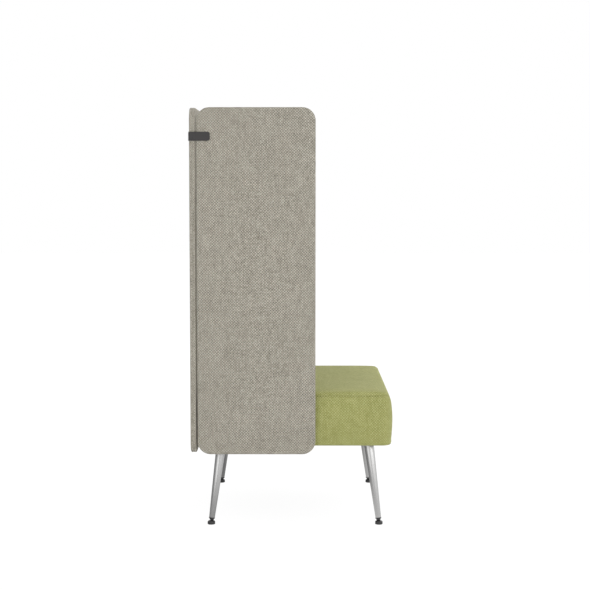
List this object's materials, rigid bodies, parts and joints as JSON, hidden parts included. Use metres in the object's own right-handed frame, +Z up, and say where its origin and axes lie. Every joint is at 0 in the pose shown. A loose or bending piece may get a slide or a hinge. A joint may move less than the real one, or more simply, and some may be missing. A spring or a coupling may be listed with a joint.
{
  "type": "high back privacy chair",
  "caption": "Upholstered block seat on splayed tapered legs, with tall fabric side and back screens, corner straps and levelling glides.",
  "frame": {"origin": "on the floor, under the middle of the overall box", "axes": "+Z up, the sitter faces -Y, the sitter's left is +X"},
  "size_m": [0.6782, 0.6671, 1.372],
  "materials": {
    "seat_fabric": "heathered green upholstery weave, matt",
    "screen_fabric": "warm grey tweed, matt",
    "foam": "seat foam, hidden",
    "board": "plain plywood, hidden",
    "timber": "planed timber, hidden",
    "dust_cover_felt": "black non-woven lining",
    "satin_steel": "satin bright steel",
    "plated_steel": "zinc plated steel",
    "blackened_steel": "black oxide steel",
    "graphite_paint": "satin graphite powder coat",
    "black_nylon": "black moulded nylon"
  },
  "bodies": {
    "chair": {"seat_cover": "seat_fabric", "left_screen_cover": "screen_fabric", "right_screen_cover": "screen_fabric", "back_screen_cover": "screen_fabric", "seat_foam": "foam", "seat_deck": "board", "left_screen_board": "board", "right_screen_board": "board", "back_screen_board": "board", "frame_front_rail": "timber", "frame_rear_rail": "timber", "frame_left_rail": "timber", "frame_right_rail": "timber", "leg_block_front_left": "timber", "leg_block_front_right": "timber", "leg_block_rear_left": "timber", "leg_block_rear_right": "timber", "dust_cover": "dust_cover_felt", "leg_front_left": "satin_steel", "leg_front_right": "satin_steel", "leg_rear_left": "satin_steel", "leg_rear_right": "satin_steel", "leg_plate_front_left": "plated_steel", "leg_plate_front_right": "plated_steel", "leg_plate_rear_left": "plated_steel", "leg_plate_rear_right": "plated_steel", "plate_screw_front_left_1": "plated_steel", "plate_screw_front_left_2": "plated_steel", "plate_screw_front_right_1": "plated_steel", "plate_screw_front_right_2": "plated_steel", "plate_screw_rear_left_1": "plated_steel", "plate_screw_rear_left_2": "plated_steel", "plate_screw_rear_right_1": "plated_steel", "plate_screw_rear_right_2": "plated_steel", "left_screen_bolt_front": "plated_steel", "left_screen_bolt_rear": "plated_steel", "right_screen_bolt_front": "plated_steel", "right_screen_bolt_rear": "plated_steel", "back_screen_bolt_left": "plated_steel", "back_screen_bolt_right": "plated_steel", "strap_nut_left_side": "plated_steel", "strap_nut_left_back": "plated_steel", "strap_nut_right_side": "plated_steel", "strap_nut_right_back": "plated_steel", "left_corner_strap": "graphite_paint", "right_corner_strap": "graphite_paint", "leg_plug_front_left": "black_nylon", "leg_plug_front_right": "black_nylon", "leg_plug_rear_left": "black_nylon", "leg_plug_rear_right": "black_nylon"},
    "glide_front_left": {"glide_stem_front_left": "blackened_steel"},
    "foot_front_left": {"glide_pad_front_left": "black_nylon"},
    "glide_front_right": {"glide_stem_front_right": "blackened_steel"},
    "foot_front_right": {"glide_pad_front_right": "black_nylon"},
    "glide_rear_left": {"glide_stem_rear_left": "blackened_steel"},
    "foot_rear_left": {"glide_pad_rear_left": "black_nylon"},
    "glide_rear_right": {"glide_stem_rear_right": "blackened_steel"},
    "foot_rear_right": {"glide_pad_rear_right": "black_nylon"}
  },
  "joints": [
    {"name": "glide_travel_front_left", "type": "slide", "parent": "chair", "child": "glide_front_left", "axis": [0.126, -0.126, -0.984], "range_m": [0, 0.01]},
    {"name": "glide_tilt_front_left", "type": "hinge", "parent": "glide_front_left", "child": "foot_front_left", "pos_m": [0.29296, -0.28851, 0.0065], "axis": [-0.7071, -0.7071, 0], "range_deg": [-4.5, 25]},
    {"name": "glide_travel_front_right", "type": "slide", "parent": "chair", "child": "glide_front_right", "axis": [-0.126, -0.126, -0.984], "range_m": [0, 0.01]},
    {"name": "glide_tilt_front_right", "type": "hinge", "parent": "glide_front_right", "child": "foot_front_right", "pos_m": [-0.29296, -0.28851, 0.0065], "axis": [-0.7071, 0.7071, 0], "range_deg": [-4.5, 25]},
    {"name": "glide_travel_rear_left", "type": "slide", "parent": "chair", "child": "glide_rear_left", "axis": [0.126, 0.126, -0.984], "range_m": [0, 0.01]},
    {"name": "glide_tilt_rear_left", "type": "hinge", "parent": "glide_rear_left", "child": "foot_rear_left", "pos_m": [0.29296, 0.26691, 0.0065], "axis": [0.7071, -0.7071, 0], "range_deg": [-4.5, 25]},
    {"name": "glide_travel_rear_right", "type": "slide", "parent": "chair", "child": "glide_rear_right", "axis": [-0.126, 0.126, -0.984], "range_m": [0, 0.01]},
    {"name": "glide_tilt_rear_right", "type": "hinge", "parent": "glide_rear_right", "child": "foot_rear_right", "pos_m": [-0.29296, 0.26691, 0.0065], "axis": [0.7071, 0.7071, 0], "range_deg": [-4.5, 25]}
  ]
}
